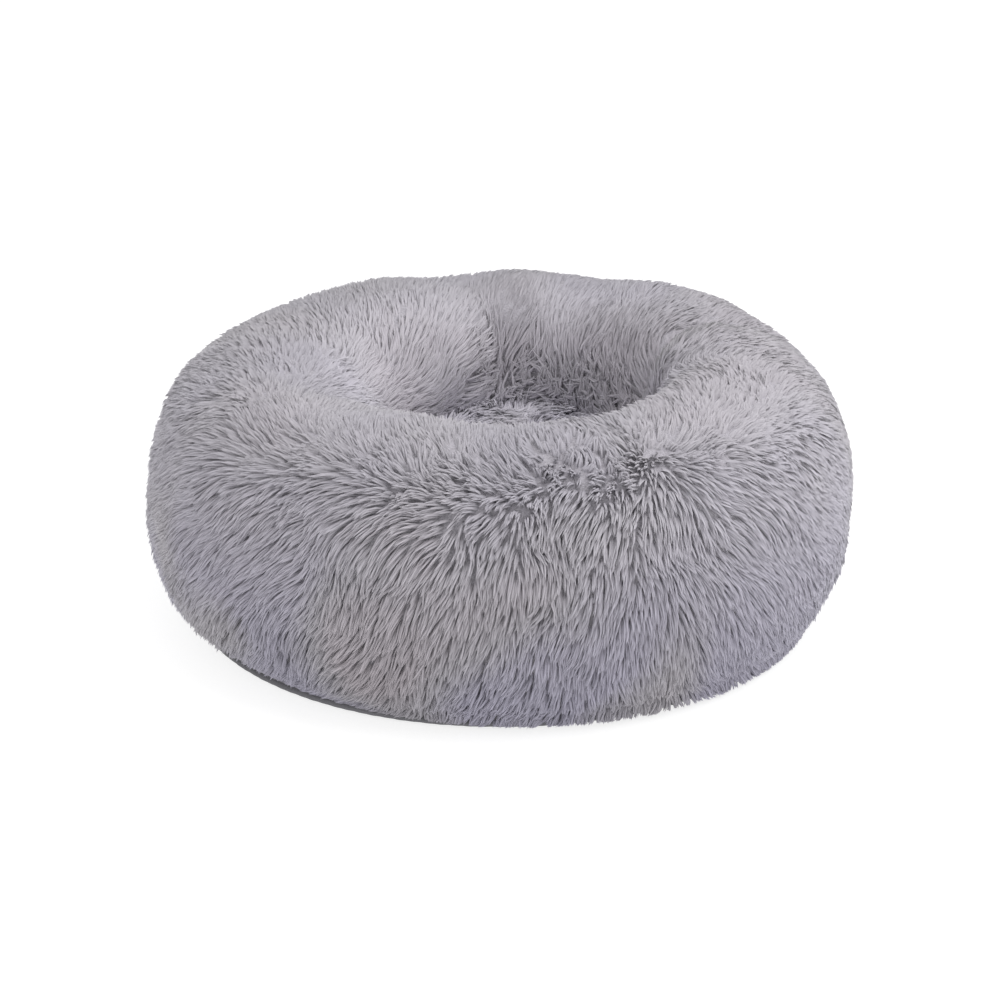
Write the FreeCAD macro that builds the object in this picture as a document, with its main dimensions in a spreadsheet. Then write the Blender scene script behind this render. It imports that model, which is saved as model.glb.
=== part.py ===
"""Round plush pet bed: a stuffed ring bolster round a padded well, in a zip-off cover.

The frame is +Z up, with the origin on the floor under the middle of the bed. The front
faces -Y. Polar angles run from +X towards +Y, so the rear of the bed is at 90 degrees.

Soft pieces are plain solids of their true outer size. The plush panels are as thick as
their pile, so their outer faces are where the tips of the fur lie.
"""

import FreeCAD, Part
import math
import os

import Sketcher

V = FreeCAD.Vector
UP = V(0, 0, 1)
SHEET_NAME = "Sizes"

# Millimetres and degrees. Radii are from the bed's vertical axis, heights from the floor.
SIZES = {
    # Tips of the pile, from the rim up, over the crest and down into the well.
    "pile_rim_radius": 267,
    "pile_low_radius": 283,
    "pile_widest_radius": 300,
    "pile_widest_height": 78,
    "pile_wall_radius": 291,
    "pile_wall_height": 155,
    "pile_shoulder_radius": 243,
    "pile_shoulder_height": 211,
    "crest_radius": 182,
    "bed_height": 223,
    "pile_inner_radius": 125,
    "pile_inner_height": 166,
    "pile_well_radius": 119,
    # The plush's backing cloth, the same way round.
    "skin_rim_radius": 260,
    "skin_rim_height": 8.6,
    "zip_edge_height": 27,
    "skin_widest_radius": 279,
    "skin_widest_height": 80,
    "skin_wall_radius": 270.5,
    "skin_wall_height": 149,
    "skin_shoulder_radius": 233,
    "skin_shoulder_height": 193,
    "skin_crest_radius": 184,
    "skin_crest_height": 202,
    "skin_inner_radius": 146,
    "skin_inner_height": 164,
    "well_seam_radius": 141,
    "well_seam_height": 132,
    # Curves between those corners.
    "pile_rim_curve": 60,
    "pile_low_curve": 85,
    "pile_wall_curve": 301,
    "pile_shoulder_curve": 86,
    "pile_crest_curve": 146,
    "pile_inner_curve": 57,
    "skin_low_curve": 84,
    "skin_wall_curve": 284,
    "skin_shoulder_curve": 63,
    "skin_crest_curve": 138,
    "skin_inner_curve": 38.5,
    # The two plush panels meet at a seam right of the front and one opposite it.
    "panel_angle": 179.9,
    "front_seam_angle": -77.4,
    # Bolster cushion and floor cushion.
    "liner_ease": 2,
    "zip_ease": 4,
    "liner_thickness": 0.8,
    "filling_ease": 0.4,
    "cushion_base_height": 3.4,
    "floor_cushion_radius": 138,
    "floor_cushion_shoulder": 79,
    "floor_cushion_edge": 26,
    "floor_cushion_rise": 5.1,
    # Well floor. Its cloth lies in a shallow dish, and the pile stands up from that.
    "floor_middle_height": 98,
    "floor_rim_height": 106,
    "floor_dish_curve": 1229,
    "floor_ease": 1,
    "floor_plush_radius": 140,
    "floor_plush_thickness": 22,
    # Underside.
    "panel_radius": 258.4,
    "panel_thickness": 1.2,
    "dot_radius": 4,
    "dot_height": 1,
    "dot_pitch": 60,
    "dot_row_pitch": 52,
    "piping_radius": 262,
    "piping_height": 5.2,
    "piping_outside": 3.2,
    "piping_inside": 2.5,
    "cord_radius": 2.4,
    "label_width": 40,
    "label_length": 28,
    "label_thickness": 0.4,
    "label_radius": 205,
    "label_angle": 150,
    # Zip round the rear of the rim.
    "zip_room_height": 27.5,
    "zip_room_start": 4.8,
    "zip_room_angle": 170.4,
    "tape_start": 5,
    "tape_angle": 170,
    "chain_start": 12,
    "chain_angle": 160,
    "tape_radius": 259,
    "tape_thickness": 0.8,
    "tape_width": 7.6,
    "chain_height": 17.6,
    "chain_gap": 1.4,
    "coil_width": 2,
    "coil_depth": 2.1,
    "stop_length": 3,
    "stop_width": 6.4,
    "stop_gap_angle": 0.1,
    "coil_to_tape": 0.1,
    # Slider, drawn on the +X side of the bed and turned to where it is parked.
    "slider_park_angle": 170,
    "slider_length": 12,
    "slider_width": 10,
    "plate_thickness": 1.2,
    "outer_plate_radius": 262.6,
    "inner_plate_radius": 256.8,
    "lip_thickness": 1,
    "lip_radius": 260.5,
    "post_thickness": 0.6,
    "post_length": 4,
    "bridge_length": 8,
    "bridge_width": 2.2,
    "bridge_bar": 1,
    "bridge_rise": 2.2,
    # Pull tab. Its cross bar turns under the slider's bridge.
    "pull_bar_radius": 0.6,
    "pull_bar_lift": 1.1,
    "pull_length": 24,
    "pull_width": 7,
    "pull_thickness": 1.2,
    "pull_arm": 1.2,
    "pull_eye": 7,
    "pull_hole_radius": 1.2,
}

doc = FreeCAD.newDocument("PetBed")
sheet = doc.addObject("Spreadsheet::Sheet", SHEET_NAME)
for row, (size_name, size) in enumerate(SIZES.items(), start=1):
    sheet.set(f"A{row}", size_name)
    sheet.set(f"B{row}", str(size))
    sheet.setAlias(f"B{row}", size_name)
doc.recompute()


def bound(formula):
    """The formula with the sheet's name put before each of its sizes."""
    words = formula.replace("(", " ( ").replace(")", " ) ").split()
    return " ".join(f"{SHEET_NAME}.{w}" if w in SIZES else w for w in words)


def value(formula):
    """What a formula of the sheet's sizes comes to."""
    got = sheet.evalExpression(bound(formula))
    return float(getattr(got, "Value", got))


def bind(item, **formulas):
    """Ties an object's properties to the sheet."""
    for name, formula in formulas.items():
        item.setExpression(name, bound(formula))
    return item


# ---- sketches and turned solids -------------------------------------------------------


def new_body(name):
    body = doc.addObject("PartDesign::Body", name)
    body.Label = name
    return body


def new_sketch(body, plane_role, name):
    plane = next(p for p in body.Origin.OriginFeatures if p.Role == plane_role)
    sketch = body.newObject("Sketcher::SketchObject", name)
    sketch.AttachmentSupport = [(plane, "")]
    sketch.MapMode = "FlatFace"
    return sketch


def constrain(sketch, kind, *where, formula):
    """Adds one measured constraint and ties it to the sheet."""
    index = sketch.addConstraint(Sketcher.Constraint(kind, *where, value(formula)))
    sketch.setExpression(f"Constraints[{index}]", bound(formula))


def arc_between(start, end, curve):
    """An arc from start to end, bulging to the right of the way if curve is positive."""
    chord = end - start
    across = V(chord.y, -chord.x, 0).normalize()
    side = 1 if curve > 0 else -1
    depth = math.sqrt(max(curve**2 - (chord.Length / 2) ** 2, 0))
    centre = (start + end) / 2 - across * depth * side
    first, last = (start, end) if curve > 0 else (end, start)
    angles = [math.atan2(p.y - centre.y, p.x - centre.x) for p in (first, last)]
    return Part.ArcOfCircle(Part.Circle(centre, UP, abs(curve)), *angles)


def draw_section(sketch, corners):
    """A closed section from corners of (radius, height, curve to the next corner).

    The section runs anticlockwise. A curve of None is a straight line, and one that
    starts with a minus sign is hollow.
    """
    points = [V(value(r), value(z), 0) for r, z, _ in corners]
    ends = []
    for i, (_, _, curve) in enumerate(corners):
        start, end = points[i], points[(i + 1) % len(points)]
        if curve is None:
            geometry = sketch.addGeometry(Part.LineSegment(start, end))
            ends.append((geometry, 1, 2))
            continue
        hollow = curve.startswith("-")
        size = curve.lstrip("-")
        reach = -value(size) if hollow else value(size)
        geometry = sketch.addGeometry(arc_between(start, end, reach))
        ends.append((geometry, 2, 1) if hollow else (geometry, 1, 2))
        constrain(sketch, "Radius", geometry, formula=size)
    for i, (geometry, first, _) in enumerate(ends):
        before, _, last = ends[i - 1]
        sketch.addConstraint(
            Sketcher.Constraint("Coincident", before, last, geometry, first)
        )
        radius, height, _ = corners[i]
        constrain(sketch, "DistanceX", -1, 1, geometry, first, formula=radius)
        constrain(sketch, "DistanceY", -1, 1, geometry, first, formula=height)


def turned(name, corners, angle="360"):
    """A section of the bed turned about its vertical axis."""
    body = new_body(name)
    sketch = new_sketch(body, "XZ_Plane", name + "_section")
    draw_section(sketch, corners)
    turn = body.newObject("PartDesign::Revolution", name + "_turn")
    turn.Profile = sketch
    turn.ReferenceAxis = (sketch, ["V_Axis"])
    bind(turn, Angle=angle)
    doc.recompute()
    return body


def place(item, corner=("0", "0", "0"), angle="0"):
    """Moves an object to a corner, then turns it about the bed's axis."""
    turn = FreeCAD.Rotation(UP, value(angle))
    spot = V(*(value(side) for side in corner))
    item.Placement = FreeCAD.Placement(turn.multVec(spot), turn)
    return item


def primitive(kind, name, **formulas):
    return bind(doc.addObject(kind, name), **formulas)


def box(name, corner, length, width, height, angle="0"):
    """A box from its corner of least x, y and z."""
    item = primitive("Part::Box", name, Length=length, Width=width, Height=height)
    return place(item, corner, angle)


def cylinder(name, radius, height, corner=("0", "0", "0"), sweep="360", angle="0"):
    item = primitive("Part::Cylinder", name, Radius=radius, Height=height, Angle=sweep)
    return place(item, corner, angle)


def torus(name, radius, section_radius, z):
    item = primitive("Part::Torus", name, Radius1=radius, Radius2=section_radius)
    return place(item, ("0", "0", z))


def cut(name, base, tool):
    item = doc.addObject("Part::Cut", name)
    item.Base, item.Tool = base, tool
    return item


def joined(name, pieces):
    item = doc.addObject("Part::MultiFuse", name)
    item.Shapes = pieces
    item.Refine = True
    return item


def band(name, inner, thickness, z, height, start, sweep):
    """A band standing on part of a circle round the bed's axis."""
    outer = f"{inner} + {thickness}"
    outside = cylinder(name + "_outside", outer, height, ("0", "0", z), sweep)
    inside = cylinder(name + "_inside", inner, height, ("0", "0", z))
    return place(cut(name, outside, inside), angle=start)


# ---- cover ----------------------------------------------------------------------------

PILE = [
    ("pile_rim_radius", "skin_rim_height", "pile_rim_curve"),
    ("pile_low_radius", "zip_edge_height", "pile_low_curve"),
    ("pile_widest_radius", "pile_widest_height", "pile_wall_curve"),
    ("pile_wall_radius", "pile_wall_height", "pile_shoulder_curve"),
    ("pile_shoulder_radius", "pile_shoulder_height", "pile_crest_curve"),
    ("crest_radius", "bed_height", "pile_inner_curve"),
    ("pile_inner_radius", "pile_inner_height", None),
    ("pile_well_radius", "well_seam_height", None),
]
# The backing is drawn from the well back to the rim, so its curves are all hollow.
BACKING = [
    ("well_seam_radius", "well_seam_height", None),
    ("skin_inner_radius", "skin_inner_height", "-skin_inner_curve"),
    ("skin_crest_radius", "skin_crest_height", "-skin_crest_curve"),
    ("skin_shoulder_radius", "skin_shoulder_height", "-skin_shoulder_curve"),
    ("skin_wall_radius", "skin_wall_height", "-skin_wall_curve"),
    ("skin_widest_radius", "skin_widest_height", "-skin_low_curve"),
    ("skin_rim_radius", "zip_edge_height", None),
    ("skin_rim_radius", "skin_rim_height", None),
]


def plush_panel(name, seam_angle):
    """Half of the long-pile strip that wraps the bolster, clear of the zip at the rear."""
    strip = turned(name + "_strip", PILE + BACKING, "panel_angle")
    place(strip, angle=seam_angle)
    zip_room = cylinder(
        name + "_zip_room",
        "pile_widest_radius",
        "zip_room_height",
        sweep="zip_room_angle",
        angle="zip_room_start",
    )
    return cut(name, strip, zip_room)


def well_floor_plush():
    """Long-pile disc at the bottom of the well, sagging a little to its middle."""
    top = "{} + floor_plush_thickness"
    return turned(
        "well_floor_plush",
        [
            ("0", "floor_middle_height", "floor_dish_curve"),
            ("floor_plush_radius", "floor_rim_height", None),
            ("floor_plush_radius", top.format("floor_rim_height"), "-floor_dish_curve"),
            ("0", top.format("floor_middle_height"), None),
        ],
    )


def bottom_panel():
    """Cloth disc that closes the underside, lying on the grip dots."""
    low = ("0", "0", "dot_height")
    return cylinder("bottom_panel", "panel_radius", "panel_thickness", low)


def rim_piping():
    """Cloth sleeve round a cord, sewn in between the wall and the bottom panel."""
    sleeve = torus("piping_outer", "piping_radius", "piping_outside", "piping_height")
    room = torus("piping_room", "piping_radius", "piping_inside", "piping_height")
    return cut("rim_piping", sleeve, room)


def grip_dot_spots():
    """Rows and half columns of an equal triangular grid, clear of the rim and label."""
    column, row_pitch = value("dot_pitch / 2"), value("dot_row_pitch")
    turn = FreeCAD.Rotation(UP, value("label_angle"))
    label_middle = turn.multVec(V(value("label_radius"), 0, 0))
    reach = value("panel_radius - 2 * dot_radius")
    spots = []
    for row in range(-5, 6):
        for half in range(-10, 11):
            spot = V(half * column, row * row_pitch, 0)
            if (half - row) % 2 or spot.Length > reach:
                continue
            if spot.distanceToPoint(label_middle) > value("label_width"):
                spots.append((row, half))
    return spots


def grip_dots():
    """Rubber dots printed on the underside. The bed stands on them."""
    body = new_body("grip_dots")
    body.AllowCompound = True
    sketch = new_sketch(body, "XY_Plane", "grip_dot_places")
    for row, half in grip_dot_spots():
        x, y = f"{half} * dot_pitch / 2", f"{row} * dot_row_pitch"
        middle = V(value(x), value(y), 0)
        dot = sketch.addGeometry(Part.Circle(middle, UP, value("dot_radius")))
        constrain(sketch, "Radius", dot, formula="dot_radius")
        constrain(sketch, "DistanceX", -1, 1, dot, 3, formula=x)
        constrain(sketch, "DistanceY", -1, 1, dot, 3, formula=y)
    pad = body.newObject("PartDesign::Pad", "grip_dot_print")
    pad.Profile = sketch
    bind(pad, Length="dot_height")
    return body


def care_label():
    """Blank woven label sewn flat to the underside between the grip dots."""
    corner = (
        "label_radius - label_length / 2",
        "0 - label_width / 2",
        "dot_height - label_thickness",
    )
    sides = ("label_length", "label_width", "label_thickness")
    return box("care_label", corner, *sides, angle="label_angle")


# ---- cushions inside the cover ---------------------------------------------------------


def bolster_section(ease):
    """The ring cushion's section, that much inside the plush's backing."""
    base = f"cushion_base_height + {ease} - liner_ease"
    rim = f"skin_rim_radius - zip_ease - {ease} + liner_ease"
    inner = f"well_seam_radius + {ease}"
    widest, wall = f"skin_widest_radius - {ease}", f"skin_wall_radius - {ease}"
    shoulder = (
        f"skin_shoulder_radius - 0.4 * {ease}",
        f"skin_shoulder_height - 0.9 * {ease}",
    )
    return [
        (inner, base, None),
        (rim, base, None),
        (rim, "zip_edge_height", "skin_low_curve"),
        (widest, "skin_widest_height", f"skin_wall_curve - {ease}"),
        (wall, "skin_wall_height", f"skin_shoulder_curve - {ease}"),
        (*shoulder, f"skin_crest_curve - {ease}"),
        ("skin_crest_radius", f"skin_crest_height - {ease}", f"skin_inner_curve - {ease}"),
        (f"skin_inner_radius + {ease}", "skin_inner_height", None),
        (inner, "well_seam_height", None),
    ]


def floor_section(ease):
    """The well cushion's section, that much inside the floor plush's backing."""
    base = f"cushion_base_height + {ease} - floor_ease"
    side = f"floor_cushion_radius - {ease} + floor_ease"
    edge = "floor_cushion_radius - floor_cushion_edge"
    top = f"floor_middle_height - {ease}"
    return [
        ("0", base, None),
        (side, base, None),
        (side, "floor_cushion_shoulder", f"floor_cushion_edge - {ease}"),
        (edge, f"{top} + floor_cushion_rise", f"-floor_dish_curve + {ease}"),
        ("0", top, None),
    ]


def cushion(name, section, ease):
    """A sewn case and the filling in it, as two pieces."""
    inside = f"({ease} + liner_thickness)"
    case = cut(
        name + "_case",
        turned(name + "_case_outside", section(ease)),
        turned(name + "_case_room", section(inside)),
    )
    filled = f"({ease} + liner_thickness + filling_ease)"
    return case, turned(name + "_filling", section(filled))


# ---- zip ------------------------------------------------------------------------------

COIL_RADIUS = "tape_radius + tape_thickness + coil_to_tape"
TAPE_SPAN = ("tape_start", "tape_angle")
CHAIN_SPAN = ("chain_start", "chain_angle")


def zip_tape(name, z):
    return band(name, "tape_radius", "tape_thickness", z, "tape_width", *TAPE_SPAN)


def zip_coil(name, z):
    return band(name, COIL_RADIUS, "coil_depth", z, "coil_width", *CHAIN_SPAN)


def zip_stop(name, y, angle):
    corner = (COIL_RADIUS, y, "chain_height - stop_width / 2")
    return box(name, corner, "coil_depth", "stop_length", "stop_width", angle)


def zip_stops():
    """A crimped stop past each end of the chain."""
    pair = doc.addObject("Part::Compound", "zip_stops")
    first_angle = "chain_start - stop_gap_angle"
    last_angle = "chain_start + chain_angle + stop_gap_angle"
    pair.Links = [
        zip_stop("zip_stop_first", "0 - stop_length", first_angle),
        zip_stop("zip_stop_last", "0", last_angle),
    ]
    return pair


def slider_plate(name, radius):
    corner = (radius, "0 - slider_length / 2", "chain_height - slider_width / 2")
    return box(name, corner, "plate_thickness", "slider_length", "slider_width")


def slider_lip(name, z):
    depth = "outer_plate_radius - lip_radius + plate_thickness"
    corner = ("lip_radius", "0 - slider_length / 2", z)
    return box(name, corner, depth, "slider_length", "lip_thickness")


def slider_body():
    """Two plates with lips, joined by a post that runs in the gap of the chain."""
    post = box(
        "slider_post",
        (
            "inner_plate_radius",
            "slider_length / 2 - post_length",
            "chain_height - post_thickness / 2",
        ),
        "outer_plate_radius - inner_plate_radius + plate_thickness",
        "post_length",
        "post_thickness",
    )
    half = "slider_width / 2"
    pieces = [
        slider_plate("slider_outer_plate", "outer_plate_radius"),
        slider_plate("slider_inner_plate", "inner_plate_radius"),
        slider_lip("slider_upper_lip", f"chain_height + {half} - lip_thickness"),
        slider_lip("slider_lower_lip", f"chain_height - {half}"),
        post,
    ]
    return place(joined("slider_body", pieces), angle="slider_park_angle")


def slider_bridge():
    """The arch on the slider's outer plate that the pull hangs from."""
    face = "outer_plate_radius + plate_thickness"
    z = "chain_height - bridge_width / 2"
    near = "0 - bridge_length / 2"
    feet = [
        box(name, (face, y, z), "bridge_rise + bridge_bar", "bridge_bar", "bridge_width")
        for name, y in (
            ("bridge_foot_near", near),
            ("bridge_foot_far", "bridge_length / 2 - bridge_bar"),
        )
    ]
    corner = (f"{face} + bridge_rise", near, z)
    bar = box("bridge_top", corner, "bridge_bar", "bridge_length", "bridge_width")
    return place(joined("slider_bridge", [*feet, bar]), angle="slider_park_angle")


def zip_pull():
    """Pull tab with a cross bar, two arms past the bridge and a hole near its end."""
    pivot = "outer_plate_radius + plate_thickness + pull_bar_lift"
    flat = f"{pivot} - pull_bar_radius"
    bottom = "chain_height - pull_width / 2"
    bar = cylinder("pull_bar", "pull_bar_radius", "pull_width", (pivot, "0", bottom))
    plate = box(
        "pull_plate",
        (flat, "0 - pull_length", bottom),
        "pull_thickness",
        "pull_length",
        "pull_width",
    )
    eye = box(
        "pull_eye_room",
        (f"{flat} - pull_thickness", "0 - pull_eye", f"{bottom} + pull_arm"),
        "3 * pull_thickness",
        "pull_eye + pull_thickness",
        "pull_width - 2 * pull_arm",
    )
    hole = primitive(
        "Part::Cylinder",
        "pull_hole_room",
        Radius="pull_hole_radius",
        Height="3 * pull_thickness",
    )
    hole_spot = V(
        value(f"{flat} - pull_thickness"),
        value("2 * pull_arm + pull_hole_radius - pull_length"),
        value("chain_height"),
    )
    hole.Placement = FreeCAD.Placement(hole_spot, FreeCAD.Rotation(V(0, 1, 0), 90))
    tab = cut("pull_tab", cut("pull_plate_with_eye", plate, eye), hole)
    return place(joined("zip_pull", [bar, tab]), angle="slider_park_angle")


# ---- the whole bed --------------------------------------------------------------------


def build():
    half_gap = "(180 - panel_angle) / 2"
    return [
        plush_panel("plush_panel_right", f"front_seam_angle + {half_gap}"),
        plush_panel("plush_panel_left", f"front_seam_angle + 180 + {half_gap}"),
        well_floor_plush(),
        *cushion("bolster", bolster_section, "liner_ease"),
        *cushion("floor_cushion", floor_section, "floor_ease"),
        bottom_panel(),
        rim_piping(),
        torus("piping_cord", "piping_radius", "cord_radius", "piping_height"),
        grip_dots(),
        care_label(),
        zip_tape("zip_tape_upper", "chain_height + chain_gap"),
        zip_tape("zip_tape_lower", "chain_height - chain_gap - tape_width"),
        zip_coil("zip_coil_upper", "chain_height + chain_gap / 2"),
        zip_coil("zip_coil_lower", "chain_height - chain_gap / 2 - coil_width"),
        zip_stops(),
        slider_body(),
        slider_bridge(),
        zip_pull(),
    ]


def check(parts):
    """Stops if any object failed or any piece isn't one or more sound solids."""
    for item in doc.Objects:
        if {"Invalid", "Error"} & set(item.State):
            raise RuntimeError(f"{item.Label} failed: {item.State}")
    for part in parts:
        shape = part.Shape
        if shape.isNull() or not shape.isValid() or not shape.Solids:
            raise RuntimeError(f"{part.Label} isn't a sound solid")
        size = shape.BoundBox
        print(
            f"{part.Label}: {len(shape.Solids)} solids, {shape.Volume / 1000:.2f} cm3,",
            f"{size.XLength:.1f} x {size.YLength:.1f} x {size.ZLength:.1f} mm",
        )


parts = build()
doc.recompute()
check(parts)
os.makedirs("parts", exist_ok=True)
for part in parts:
    part.Shape.exportStep(f"parts/{part.Label}.step")
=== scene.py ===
"""A round long-pile pet bed: cushions, fur, stitching, zip and underside, on a pale floor.

All lengths are in metres in the frame of the CAD model: +Z up, the front towards -Y, the
bed's vertical axis through the origin. Polar angles run from +X towards +Y.
"""

import math

import bpy
import numpy as np
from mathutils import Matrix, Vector
from mathutils.kdtree import KDTree


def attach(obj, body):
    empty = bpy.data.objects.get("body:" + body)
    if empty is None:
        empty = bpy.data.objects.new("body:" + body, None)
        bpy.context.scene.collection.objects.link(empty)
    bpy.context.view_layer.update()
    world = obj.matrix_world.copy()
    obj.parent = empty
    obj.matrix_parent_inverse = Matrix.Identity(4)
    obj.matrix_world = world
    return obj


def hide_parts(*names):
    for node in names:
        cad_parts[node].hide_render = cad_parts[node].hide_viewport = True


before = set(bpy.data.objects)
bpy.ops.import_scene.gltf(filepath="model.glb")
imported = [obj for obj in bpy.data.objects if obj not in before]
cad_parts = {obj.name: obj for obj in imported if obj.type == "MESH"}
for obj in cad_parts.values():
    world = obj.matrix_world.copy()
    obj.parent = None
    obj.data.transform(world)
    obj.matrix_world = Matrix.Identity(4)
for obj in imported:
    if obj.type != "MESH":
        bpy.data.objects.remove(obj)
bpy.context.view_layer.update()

TURN = 2 * math.pi
UP = np.array([0.0, 0.0, 1.0])
BODY = "bed"

# The cover from the rim over the crest to the well seam: the radius and height of the
# plush's backing cloth, and how far the tips of the pile stand off it.
COVER_PROFILE = np.array(
    [
        (0.2600, 0.0086, 0.0080),
        (0.2602, 0.0180, 0.0150),
        (0.2615, 0.0280, 0.0215),
        (0.2705, 0.0500, 0.0230),
        (0.2785, 0.0800, 0.0235),
        (0.2775, 0.1150, 0.0240),
        (0.2705, 0.1490, 0.0250),
        (0.2570, 0.1750, 0.0260),
        (0.2330, 0.1930, 0.0250),
        (0.2090, 0.2010, 0.0235),
        (0.1840, 0.2020, 0.0225),
        (0.1600, 0.1900, 0.0220),
        (0.1460, 0.1640, 0.0210),
        (0.1405, 0.1320, 0.0200),
        (0.1380, 0.1120, 0.0180),
    ]
)
SKIN_PROFILE, PILE_DEPTH = COVER_PROFILE[:, :2], COVER_PROFILE[:, 2:]
LAST_U = len(COVER_PROFILE) - 1
# The middle of the ring cushion's section, from which its filling pushes outwards.
CORE_RADIUS, CORE_HEIGHT = 0.21, 0.11
BACKING_THICKNESS = 0.0012
PANEL_STARTS = {"right": -77.35, "left": 102.65}
PANEL_SWEEP = 179.9
WELL_FLOOR_RADIUS = 0.138
WELL_FLOOR_MIDDLE = 0.098
WELL_FLOOR_RIM = 0.106
WELL_PILE_DEPTH = 0.029
# How much of the pile's depth its dense underwool fills.
UNDERWOOL_SHARE = 0.55

# The pile's locks: how far apart they root, how many gather in a tuft, how far a laid one
# reaches, and how far one is moved off its place in its row, as a share of the spacing.
LOCK_SPACING = 0.0036
STRANDS_PER_LOCK = 3
LOCKS_PER_TUFT = 3.6
LAID_REACH = 0.023
JITTER = 0.42
# The fur's pieces: sectors outside this profile place, sectors inside it, and on the floor.
INNER_U = 9.6
OUTER_SECTORS = 16
INNER_SECTORS = 6
FLOOR_SECTORS = 2

# The cover's bottom: the piping round the rim, the bottom cloth and the care label.
PIPING_RADIUS = 0.262
PIPING_HEIGHT = 0.0052
PIPING_TUBE = 0.0032
PIPING_WALL = 0.0006
CORD_RADIUS = 0.0023
CORD_TWISTS = 136
BOTTOM_RADIUS = 0.2584
BOTTOM_LOW = 0.00105
BOTTOM_THICK = 0.0011
LABEL_ANGLE = math.radians(150)
LABEL_AT = 0.205
LABEL_SIZE = (0.028, 0.040)
LABEL_LOW = 0.00055
LABEL_THICK = 0.00035

# The zip: tapes and coils as bands round the rear.
TAPE_ENDS = (math.radians(5.0), math.radians(175.0))
TAPE_RADII = (0.2590, 0.2598)
TAPES = {"upper": (0.0190, 0.0266), "lower": (0.0086, 0.0162)}
TAPE_STITCH_HEIGHTS = {"upper": 0.0248, "lower": 0.0104}
COIL_ENDS = (math.radians(12.0), math.radians(172.0))
COIL_RADIUS = 0.26095
COIL_HEIGHTS = {"upper": 0.0193, "lower": 0.0159}
COIL_PITCH = 0.0016
COIL_WIRE = 0.00022
COIL_STEPS = 9

# The zip round the rear: the polar angle of its middle, and how many degrees to either side
# of it the backing's edge is raised and the fur keeps clear.
ZIP_MIDDLE = 90
ZIP_GAP_REACH = 85.2
ZIP_REACH = 86
# How far out and up the slider's path reaches, which the fur above the zip stays out of.
ZIP_CLEAR_RADIUS = 0.2805
ZIP_CLEAR_HEIGHT = 0.0270
# The least depth of the pile that hides the zip.
ZIP_PILE_DEPTH = 0.0212
# The profile places of the backing's edge and of the lowest locks above the zip.
ZIP_EDGE_U = 1.97
ZIP_FUR_U = 2.35


# ---- smooth fields ---------------------------------------------------------------------


def smoothstep(low, high, x):
    t = np.clip((x - low) / (high - low), 0.0, 1.0)
    return t * t * (3 - 2 * t)


def bell(x, middle, width):
    return np.exp(-(((x - middle) / width) ** 2))


def angle_from(theta, middle):
    """Degrees from a polar angle in degrees, from -180 to 180."""
    return (np.degrees(theta) - middle + 180.0) % 360.0 - 180.0


def near_angle(theta, middle, width):
    """1 at a polar angle, falling away to both sides of it. All but theta are in degrees."""
    return bell(angle_from(theta, middle), 0, width)


def from_zip(theta):
    """Degrees from the middle of the zip, to either side."""
    return np.abs(angle_from(theta, ZIP_MIDDLE))


def full_turn(count, first=0.0):
    """Polar angles at even steps round the bed, from a share of the first step."""
    return (np.arange(count) + first) / count * TURN


def round_the_axis(radius, height, theta):
    """Points at a radius and a height round the bed's axis."""
    radius, height, theta = np.broadcast_arrays(radius, height, theta)
    return np.stack([radius * np.cos(theta), radius * np.sin(theta), height], axis=-1)


class Waves:
    """Smooth noise from a few plane waves, about -1 to 1."""

    def __init__(self, seed, wavelength, count=14):
        rng = np.random.default_rng(seed)
        way = rng.normal(size=(count, 3))
        way /= np.linalg.norm(way, axis=1)[:, None]
        stretch = rng.uniform(0.7, 1.5, size=count)
        self.way = way * (TURN / wavelength * stretch)[:, None]
        self.phase = rng.uniform(0, TURN, size=count)
        self.scale = math.sqrt(2.0 / count)

    def __call__(self, points):
        return np.sin(points @ self.way.T + self.phase).sum(axis=1) * self.scale


def unit(vectors):
    return vectors / np.maximum(np.linalg.norm(vectors, axis=-1, keepdims=True), 1e-12)


# ---- the bed's soft shape --------------------------------------------------------------

lump_wide, lump_fine = Waves(3, 0.16), Waves(4, 0.06)


def along_profile(table, u):
    """Catmull-Rom interpolation of a table's rows at fractional row u."""
    u = np.clip(u, 0.0, LAST_U - 1e-9)
    i = np.floor(u).astype(int)
    t = (u - i)[:, None]
    a, b, c, d = (table[np.clip(i + k, 0, LAST_U)] for k in (-1, 0, 1, 2))
    return 0.5 * (
        2 * b
        + (c - a) * t
        + (2 * a - 5 * b + 4 * c - d) * t**2
        + (3 * b - a - 3 * c + d) * t**3
    )


# Where the filling has settled: polar angle and its spread in degrees, profile place and its
# spread, and how far the cloth is pushed out.
SETTLING = (
    (165, 35, 7.5, 1.8, -0.0025),
    (125, 24, 8.0, 1.5, 0.0020),
    (38, 24, 7.8, 1.5, 0.0055),
    (-10, 28, 4.6, 1.8, -0.0055),
    (-163, 25, 2.8, 1.3, 0.0045),
    (-90, 50, 1.6, 1.2, 0.0035),
    (-95, 38, 9.7, 1.4, -0.0065),
    (12, 12, 7.2, 1.6, -0.0040),
    (-155, 24, 10.5, 1.7, -0.0120),
    (20, 5, 10.8, 2.0, -0.0190),
    (5, 9, 10.8, 1.8, 0.0100),
    (96, 7, 10.4, 1.3, -0.0065),
    (93, 8, 12.2, 1.8, -0.0100),
)


def well_wall_shift(theta, u):
    """How far the well's wall stands in towards the middle, as the filling has settled."""
    degrees = np.degrees(theta) % 360
    left_slope = 0.043 * near_angle(theta, 198, 50) * smoothstep(8.6, 14, u)
    back_lobe = 0.017 * smoothstep(85, 107, degrees) * (1 - smoothstep(125, 170, degrees))
    belly = np.sin(np.clip((u - 10) / 4, 0, 1) * math.pi)
    return left_slope + back_lobe * belly


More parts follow.
